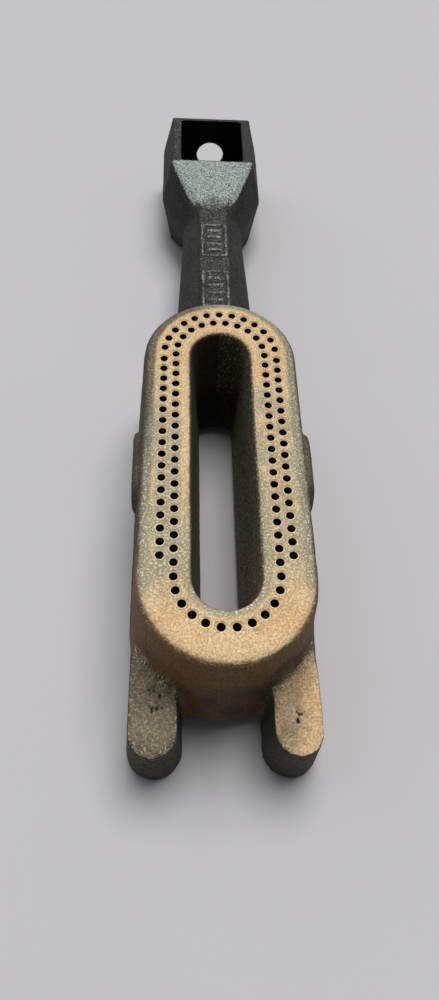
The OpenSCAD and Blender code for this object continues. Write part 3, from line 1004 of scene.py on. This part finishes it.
def bore_ring(piece, sizes, ports, colours, axis_height):
    """Cuts the channel, rebate, screw holes, gas way and ports, and adds the screw bosses."""
    soot_and_shade, mouth = soot_material(colours), port_rim(colours)
    cast, cut_face = ring_iron(colours), machined_iron(colours)
    made_of(cast, piece)
    channel, rebate = channel_solids(sizes)
    cut(piece, made_of(soot_and_shade, channel))
    low = sizes.ledge_height - 0.5 * MM
    top = sizes.ledge_height + sizes.boss_height - 0.5 * MM
    for x, y in screw_places(sizes):
        union(piece, made_of(soot_and_shade, straight_rod("boss", sizes.boss_radius, (x, y, low),
                                                (x, y, top), 24)))
    cut(piece, made_of(cut_face, rebate))
    for x, y in screw_places(sizes):
        cut(piece, made_of(cut_face, straight_rod("screw hole", sizes.screw_hole / 2,
                                                  (x, y, -PLAY), (x, y, SCREW_REACH), 20)))
    wall_y = FAR_Y + outer_half(sizes, axis_height) - sizes.wall
    cut(piece, made_of(cut_face, straight_rod("way", sizes.gas_way,
                                              (0, wall_y - 3 * MM, axis_height),
                                              (0, NOZZLE_END + PLAY, axis_height))))
    cut(piece, all_ports(ports, soot_and_shade, mouth))


def ring_masks(piece, sizes):
    """Where the deck is heated, worn or rusty, and where painted shade and painted glints go, from
    the shape of the casting.
    """
    co, normals = coordinates(piece.data), vertex_normals(piece.data)
    along, past, distance, z = ring_terms(co)
    across = co[:, 0] / MM
    up = normals[:, 2]
    slow, patchy = lumps(co, 22 * MM, 11), lumps(co, 8 * MM, 12)
    deck = DECK_Z / MM
    on_deck = rise(up, 0.58, 1.0) * rise(z, deck - 4.8, deck - 0.4)
    near_end = rise(along, 4, -10)
    far_half = rise(along, 8, 36)
    edge = rise(distance, 23.2 - 0.8 * slow, 26.2) * (1 - near_end)
    far_left = rise(across, 4, -12) * rise(along, 22, 58) * rise(distance, 21.5, 27)
    scorch = on_deck * (1.0 + 0.2 * slow - edge * (0.4 + 0.75 * far_half)
                        - (0.7 + 0.3 * patchy) * far_left)
    lower_wall = rise(np.abs(up), 0.9, 0.45)
    slot = slot_half(sizes, DECK_Z) / MM
    slot_side = rise(distance, slot + 1.6, slot + 0.4)
    near_edge = rise(distance, 14.8, 11.8) * rise(along, 45, 5)
    left_side = (across < 0) * rise(np.abs(along - 32), 50, 24) * rise(distance, 11, 17)
    right_side = (across > 0) * rise(np.abs(along - 36), 54, 26)
    worn = on_deck * (0.9 * near_edge + left_side * (0.8 + 0.6 * patchy)
                      + right_side * (0.58 + 0.4 * patchy)
                      + edge * (0.6 + 0.3 * rise(past, -30, -5))) * (1 - 0.85 * far_left)
    foot_top = rise(up, 0.4, 0.75) * rise(z, 21, 24) * rise(z, 35, 31) * (along < 2)
    right_warm = foot_top * (across > 0) * (0.85 + 0.5 * slow
                                            + 0.5 * rise(across - 0.3 * (along + 38), 20, 28))
    front_wall = (lower_wall * rise(along, 26, -14) * rise(distance, 24, 27)
                  * rise(distance, 35, 32.5))
    rust = front_wall * (0.42 + 0.35 * rise(z, 30, 46) + 0.4 * patchy
                         + 0.35 * rise(across, 6, -14) + 0.25 * rise(z, 12, 6))
    rust += 0.6 * slot_side * lower_wall * (across > 0) * rise(along, 50, 0)
    glow = on_deck * (rise(past, -18, 6) * 0.6 + rise(along, -8, -20) * 0.5 + 0.5 * patchy)
    under = rise(up, -0.3, -0.8)
    slot_deep = slot_side * rise(z, deck - 8, deck - 34) * rise(past, -14, 4)
    shoulder = (rise(np.abs(up - 0.7), 0.4, 0.15) * rise(z, deck - 6, deck - 3) * (1 - far_left)
                * rise(np.abs(across), 29.4, 28.8) * (1 - 0.65 * rise(past, -40, 0)))
    set_mask(piece, "scorch", scorch + 0.62 * right_warm)
    set_mask(piece, "glow", np.maximum(glow, 0.5 * right_warm))
    set_mask(piece, "worn", worn)
    grey_edge = edge * on_deck * (1 - 0.8 * far_left)
    set_mask(piece, "foot", foot_top + shoulder * (0.3 + 0.25 * patchy) + 0.7 * grey_edge
             + 0.3 * slot_side * (across > 0) * lower_wall)
    set_mask(piece, "rust", rust)
    pits, chip = foot_pits(co, normals)
    # Painted shade: dark on faces that look down and deep in the slot, and darker in the pits.
    set_mask(piece, "soot_and_shade", 0.75 * under + 0.6 * slot_deep + pits)
    # Painted highlight: pale flecks on slanted faces at the height of the feet's tops, the coves
    # where the feet meet the wall, with the pale edge of the left foot's chip.
    cove_glint_and_chip_edge = rise(np.abs(up - 0.65), 0.3, 0.1) * rise(z, 21, 24) * rise(z, 31, 28)
    cove_glint_and_chip_edge = np.maximum(cove_glint_and_chip_edge, 1.4 * rise(np.abs(chip - 0.4), 0.4, 0.1))
    set_mask(piece, "fleck_and_glint", 0.1 * foot_top + 0.55 * worn + 0.2 * shoulder + 0.05 * on_deck
             + 0.6 * cove_glint_and_chip_edge + 0.45 * slot_side * (across > 0) + 0.05)


# ---- Mixer casting -----------------------------------------------------------------------

SET_SCREW_ANGLE = math.radians(50)    # of a set screw, from straight down
FIELD_BARS = 4                        # plain cross bars in a raised border
TICKS = 7                             # plain ridges on the left rim, sizes below
TICK_WIDTH, TICK_LENGTH, TICK_HEIGHT = 2.6 * MM, 1.4 * MM, 0.45 * MM
TICK_PITCH = 3.4 * MM
FIRST_TICK = 8 * MM                   # from the rear face


def taper_start(sizes):
    """The y where the mixer's taper meets the round tube."""
    return REAR_Y - sizes.mixer_length - sizes.taper


def tube_half(sizes, y):
    """Outer radius of the round tube at y."""
    taper_y = taper_start(sizes)
    share = (y - TUBE_START) / (taper_y - TUBE_START)
    return sizes.socket_outer + (sizes.tube_outer - sizes.socket_outer) * share


def plates_hull(name, plates, back_y, radius, round_y, axis_height):
    """Hull of level plates (half width, first y, height) and the round end of the taper."""
    points = [(side * half, y, z) for half, front, z in plates for side in (-1, 1)
              for y in (front, back_y)]
    points += [(x, round_y, axis_height + z) for x, z in circle(radius, 48)]
    return hull(name, points)


def mixer_outside(sizes):
    return plates_hull("mixer", [
        (sizes.top_half, REAR_Y - sizes.rim_length, sizes.top_height),
        (sizes.middle_half, REAR_Y - sizes.mixer_length, sizes.axis_height),
        (sizes.foot_half, REAR_Y - sizes.mixer_length - sizes.floor_reach, 0)],
        REAR_Y, sizes.tube_outer, taper_start(sizes), sizes.axis_height)


def mixer_inside(sizes):
    wall = sizes.wall
    return plates_hull("inside", [
        (sizes.top_half - sizes.rim_width, REAR_Y - sizes.rim_length + sizes.opening_edge,
         sizes.top_height - wall),
        (sizes.middle_half - wall, REAR_Y - sizes.mixer_length + wall / 2, sizes.axis_height),
        (sizes.foot_half - wall, REAR_Y - sizes.mixer_length - sizes.floor_reach + wall, wall)],
        REAR_Y - sizes.rear_wall, sizes.throat, taper_start(sizes) + 2 * MM,
        sizes.axis_height)


def on_land(sizes, name, half_width, from_y, to_y, low, high, middle_x=0.0):
    """A bar that follows the slope of the tube's land."""
    return hull(name, [(middle_x + side * half_width, y,
                        sizes.axis_height + tube_half(sizes, y) + h)
                       for side in (-1, 1) for y in (from_y, to_y) for h in (low, high)])


def land_marks(sizes):
    """Two raised borders, each with plain cross bars."""
    taper_y = taper_start(sizes)
    bars = []
    line, high = sizes.field_line, sizes.field_height
    low = -1 * MM
    half = sizes.field_width / 2
    for k in range(2):
        end = taper_y - sizes.field_gap - k * (sizes.field_length + sizes.field_gap)
        start = end - sizes.field_length
        for y in (start, end - line):
            bars.append(on_land(sizes, "border", half, y, y + line, low, high))
        for side in (-1, 1):
            bars.append(on_land(sizes, "border", line / 2, start, end, low, high,
                                side * (half - line / 2)))
        for step in range(1, FIELD_BARS + 1):
            y = start + sizes.field_length * step / (FIELD_BARS + 1)
            bars.append(on_land(sizes, "bar", half - 2.4 * line, y - line * 0.7,
                                y + line * 0.7, low, high * 0.8))
    return bars


def rim_ticks(sizes):
    """Short plain ridges cast on the left rim."""
    ticks = []
    x = -sizes.top_half + sizes.rim_width / 2
    for k in range(TICKS):
        y = REAR_Y - FIRST_TICK - k * TICK_PITCH
        ticks.append(box("tick", (x - TICK_WIDTH / 2, y - TICK_LENGTH / 2,
                                  sizes.top_height - 0.8 * MM),
                         (x + TICK_WIDTH / 2, y + TICK_LENGTH / 2,
                          sizes.top_height + TICK_HEIGHT)))
    return ticks


def mixer_casting(sizes):
    taper_y = taper_start(sizes)
    z = sizes.axis_height
    body = rod("tube", [sizes.socket_outer, tube_half(sizes, taper_y + MM)],
               (0, TUBE_START, z), (0, taper_y + MM, z), 72)
    union(body, mixer_outside(sizes),
          on_land(sizes, "land", sizes.land / 2, TUBE_START, taper_y + MM,
                  -sizes.tube_outer / 2, 0),
          *land_marks(sizes), *rim_ticks(sizes))
    return body


def bore_mixer(piece, sizes, hollow, bored):
    """Cuts the mixer's hollow, the air opening, the venturi, the orifice and screw holes."""
    taper_y = taper_start(sizes)
    z = sizes.axis_height
    throat_y = taper_y - sizes.throat_length
    half = sizes.top_half - sizes.rim_width
    cut(piece, *[made_of(hollow, solid) for solid in (
        mixer_inside(sizes),
        shaft("air", (-half, REAR_Y - sizes.rim_length + sizes.opening_edge, z + sizes.wall),
              (half, REAR_Y - sizes.rear_wall, 2 * sizes.top_height), 2 * MM),
        rod("venturi", [sizes.way, sizes.throat], (0, NOZZLE_END, z), (0, throat_y, z)),
        straight_rod("throat", sizes.throat, (0, throat_y - 0.1 * MM, z),
                     (0, taper_y + 4 * MM, z)))])
    cut(piece, *[made_of(bored, solid) for solid in (
        straight_rod("socket", sizes.cement_radius, (0, TUBE_START - PLAY, z),
                     (0, NOZZLE_END + 0.3 * MM, z)),
        straight_rod("orifice", sizes.orifice, (0, REAR_Y - sizes.rear_wall - PLAY, z),
                     (0, REAR_Y + PLAY, z)))])
    low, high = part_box("set_screws")
    screw_y = (low.y + high.y) / 2
    for side in (-1, 1):
        tip = (side * 2 * sizes.socket_outer * math.sin(SET_SCREW_ANGLE), screw_y,
               z - 2 * sizes.socket_outer * math.cos(SET_SCREW_ANGLE))
        cut(piece, made_of(bored, straight_rod("set screw hole", sizes.set_screw / 2,
                                               (0, screw_y, z), tip)))


def mixer_masks(piece, sizes):
    """Painted reflection and glints on the slope, pale worn ridges and raised borders, and rust
    away from the slope and land.
    """
    co, normals = coordinates(piece.data), vertex_normals(piece.data)
    y, z = (REAR_Y - co[:, 1]) / MM, co[:, 2] / MM
    across = np.abs(co[:, 0]) / MM
    up = normals[:, 2]
    patchy = lumps(co, 6 * MM, 21)
    rim_y, neck_y = sizes.rim_length / MM, (sizes.mixer_length + sizes.taper) / MM
    down = np.clip((y - rim_y) / (neck_y - rim_y), 0, 1)
    half = (sizes.top_half + (sizes.land / 2 - sizes.top_half) * down) / MM
    slope = (rise(up, 0.5, 0.8) * rise(half + 0.4 - across, 0, 1.2) * (z > 28)
             * rise(y, rim_y - 0.8, rim_y + 0.4) * rise(y, neck_y - 1, neck_y - 11))
    ridge = (rise(np.abs(half - across), 1.3, 0.3) * (z > 26) * (up > 0.45)
             * (y > rim_y) * rise(y, neck_y - 3, neck_y - 12))
    land_half = sizes.land / 2 / MM
    land = (rise(up, 0.85, 0.97) * rise(across, land_half + 0.6, land_half - 0.6)
            * rise(y, neck_y - 10, neck_y) * (z > 30))
    over = z - (sizes.axis_height + tube_half(sizes, co[:, 1])) / MM
    marks = land * rise(over, 0.2, 0.55)
    rims = rise(up, 0.8, 0.95) * (y < rim_y) * (z > 36) * (co[:, 0] < 0)
    fading = 0.95 - 0.3 * rise(down, 0.4, 1.0)
    # Painted reflection of the light on the slope, fading down it; the ridges, land and borders
    # are pale from wear.
    set_mask(piece, "sheen_and_wear", slope * (fading + 0.3 * patchy) + 0.75 * ridge
             + 0.2 * land * (0.5 + patchy) + 0.3 * marks)
    set_mask(piece, "rust", 0.05 + 0.5 * patchy - 0.5 * land - slope - rims)
    # Pale flecks: painted glints on the slope, and pale grains on the ridges, borders, land and
    # left rim.
    set_mask(piece, "fleck_and_glint", 0.55 * slope + ridge + 0.35 * marks + 0.2 * land + 0.2 * rims
             + 0.04)


# ---- Operators ---------------------------------------------------------------------------

SENSOR, LENS = 36.0, 24.948                      # mm
CAMERA_PLACE = (-0.01414, -0.19859, 0.24093)
CAMERA_TURN = (31.622, -2.888, -1.335)           # degrees
SUNS = {  # direction of the light, its spread in degrees, strength and colour
    "key": ((0.16, 0.44, 1.0), 38, 3.7, (1.0, 0.98, 0.96)),
    "fill": ((-0.7, 0.55, 0.85), 60, 0.75, (0.95, 0.97, 1.0)),
}


class BURNER_OT_ring_casting(bpy.types.Operator):
    """Build the ring casting with its slot, feet, pads, channel and ports"""
    bl_idname = "burner.ring_casting"
    bl_label = "Ring Casting"

    def execute(self, context):
        scene = context.scene
        sizes, ports, colours = scene.ring_sizes, scene.port_sizes, scene.finish_colours
        axis_height = scene.mixer_sizes.axis_height
        piece = ring_casting(sizes, axis_height)
        remesh(piece, sizes.skin_grain)
        relax(piece, 3)
        relax(piece, 30, fillet_weight(coordinates(piece.data), sizes))
        cast_skin(piece, sizes.skin_lumps, quiet_deck)
        co, normals = coordinates(piece.data), vertex_normals(piece.data)
        pits, chip = foot_pits(co, normals)
        co[:, 2] -= (pits + chip) * MM
        set_coordinates(piece.data, co)
        keep_in_box(piece)
        bore_ring(piece, sizes, ports, colours, axis_height)
        keep_in_box(piece)
        piece.name = "ring_casting"
        ring_masks(piece, sizes)
        shade(piece)
        hand_over(piece, "burner_head")
        return {"FINISHED"}


class BURNER_OT_mixer_casting(bpy.types.Operator):
    """Build the mixer tube casting with its air opening, venturi and raised borders"""
    bl_idname = "burner.mixer_casting"
    bl_label = "Mixer Casting"

    def execute(self, context):
        sizes, colours = context.scene.mixer_sizes, context.scene.finish_colours
        piece = mixer_casting(sizes)
        remesh(piece, sizes.skin_grain)
        relax(piece, 3)
        cast_skin(piece, sizes.skin_lumps, lambda co, normals: np.zeros(len(co)))
        keep_in_box(piece)
        made_of(mixer_iron(colours), piece)
        bore_mixer(piece, sizes, shared_material("soot_and_shade", soot_material, colours),
                   shared_material("cut_iron", machined_iron, colours))
        piece.name = "mixer_casting"
        mixer_masks(piece, sizes)
        shade(piece)
        hand_over(piece, "mixer_tube")
        return {"FINISHED"}


class BURNER_OT_bottom_parts(bpy.types.Operator):
    """Finish the bottom cover, its gasket and its screws"""
    bl_idname = "burner.bottom_parts"
    bl_label = "Bottom Cover, Gasket and Screws"

    def execute(self, context):
        colours = context.scene.finish_colours
        steel = shared_material("blackened_steel", screw_steel, colours)
        dress("bottom_cover", cover_iron(colours))
        dress("cover_gasket", gasket_fibre(colours))
        dress("cover_screws", steel)
        return {"FINISHED"}


class BURNER_OT_socket_parts(bpy.types.Operator):
    """Finish the cement and the set screws of the socket joint"""
    bl_idname = "burner.socket_parts"
    bl_label = "Socket Cement and Set Screws"

    def execute(self, context):
        colours = context.scene.finish_colours
        steel = shared_material("blackened_steel", screw_steel, colours)
        dress("joint_cement", cement_material(colours))
        dress("set_screws", steel)
        return {"FINISHED"}


def dress(node, material):
    """Gives a carried-over CAD node its finish, through its own material slots."""
    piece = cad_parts[node]
    if not piece.material_slots:
        raise RuntimeError(f"{node} has no material slot")
    for slot in piece.material_slots:
        slot.material = material


class BURNER_OT_stage(bpy.types.Operator):
    """Lay the pale floor and set the lights and the camera"""
    bl_idname = "burner.stage"
    bl_label = "Stage"

    def execute(self, context):
        colours = context.scene.finish_colours
        floor = box("floor", (-3, -3, -0.02), (3, 3, 0))
        floor.data.materials.append(floor_material(colours))
        for name, sun in SUNS.items():
            soft_sun(name, *sun)
        context.scene.world = studio_world()
        context.scene.view_settings.view_transform = "Standard"
        view = bpy.data.cameras.new("camera")
        view.sensor_width = SENSOR
        view.lens = LENS
        camera = bpy.data.objects.new("camera", view)
        camera.location = CAMERA_PLACE
        camera.rotation_euler = [math.radians(a) for a in CAMERA_TURN]
        context.scene.collection.objects.link(camera)
        context.scene.camera = camera
        return {"FINISHED"}


def soft_sun(name, towards, spread, strength, tone):
    """An even, soft light from one side of the room."""
    data = bpy.data.lights.new(name, "SUN")
    data.angle = math.radians(spread)
    data.energy = strength
    data.color = tone
    light = bpy.data.objects.new(name, data)
    light.rotation_euler = Vector(towards).to_track_quat("Z", "Y").to_euler()
    bpy.context.scene.collection.objects.link(light)


def studio_world():
    """A pale backdrop that adds only a little light of its own."""
    world = bpy.data.worlds.new("studio")
    world.use_nodes = True
    world.node_tree.nodes.clear()
    tree = Tree(world.node_tree)
    path = tree.add("ShaderNodeLightPath")
    light = tree.add("ShaderNodeBackground", {"Color": (0.93, 0.96, 1.0), "Strength": 0.16})
    backdrop = tree.add("ShaderNodeBackground", {"Color": (0.62, 0.62, 0.64), "Strength": 1.0})
    both = tree.add("ShaderNodeMixShader", {0: path.outputs["Is Camera Ray"], 1: light,
                                            2: backdrop})
    tree.add("ShaderNodeOutputWorld", {"Surface": both})
    return world


def floor_material(colours):
    material = bpy.data.materials.new("pale_floor")
    material.use_nodes = True
    tree = Tree(material.node_tree)
    shader = material.node_tree.nodes["Principled BSDF"]
    position = tree.add("ShaderNodeTexCoord").outputs["Object"]
    slow = tree.noise(position, 6.0, 2.0)
    tree.feed(shader.inputs["Base Color"],
              tree.mix(slow, dimmed(colours.floor, 0.95), colours.floor))
    shader.inputs["Roughness"].default_value = 0.85
    return material


OPERATORS = (BURNER_OT_ring_casting, BURNER_OT_mixer_casting, BURNER_OT_bottom_parts,
             BURNER_OT_socket_parts, BURNER_OT_stage)


class BURNER_PT_sidebar(bpy.types.Panel):
    """Sizes, colours and steps of the ring burner"""
    bl_label = "Ring Burner"
    bl_idname = "BURNER_PT_sidebar"
    bl_space_type = "VIEW_3D"
    bl_region_type = "UI"
    bl_category = "Burner"

    def draw(self, context):
        for kept_as, (title, group) in SETTINGS.items():
            column = self.layout.column(heading=title)
            settings = getattr(context.scene, kept_as)
            for name in group.__annotations__:
                column.prop(settings, name)
        for operator in OPERATORS:
            self.layout.operator(operator.bl_idname)


SETTINGS = {
    "ring_sizes": ("Ring", RingSizes),
    "port_sizes": ("Ports", PortSizes),
    "mixer_sizes": ("Mixer", MixerSizes),
    "finish_colours": ("Colours", FinishColours),
}


def register():
    for _, group in SETTINGS.values():
        bpy.utils.register_class(group)
    for name, (_, group) in SETTINGS.items():
        setattr(bpy.types.Scene, name, bpy.props.PointerProperty(type=group))
    for item in OPERATORS:
        bpy.utils.register_class(item)
    bpy.utils.register_class(BURNER_PT_sidebar)


def unregister():
    bpy.utils.unregister_class(BURNER_PT_sidebar)
    for item in reversed(OPERATORS):
        bpy.utils.unregister_class(item)
    for name, (_, group) in SETTINGS.items():
        delattr(bpy.types.Scene, name)
        bpy.utils.unregister_class(group)


def main():
    register()
    for step in ("stage", "ring_casting", "mixer_casting", "bottom_parts", "socket_parts"):
        getattr(bpy.ops.burner, step)()


if __name__ == "__main__":
    main()
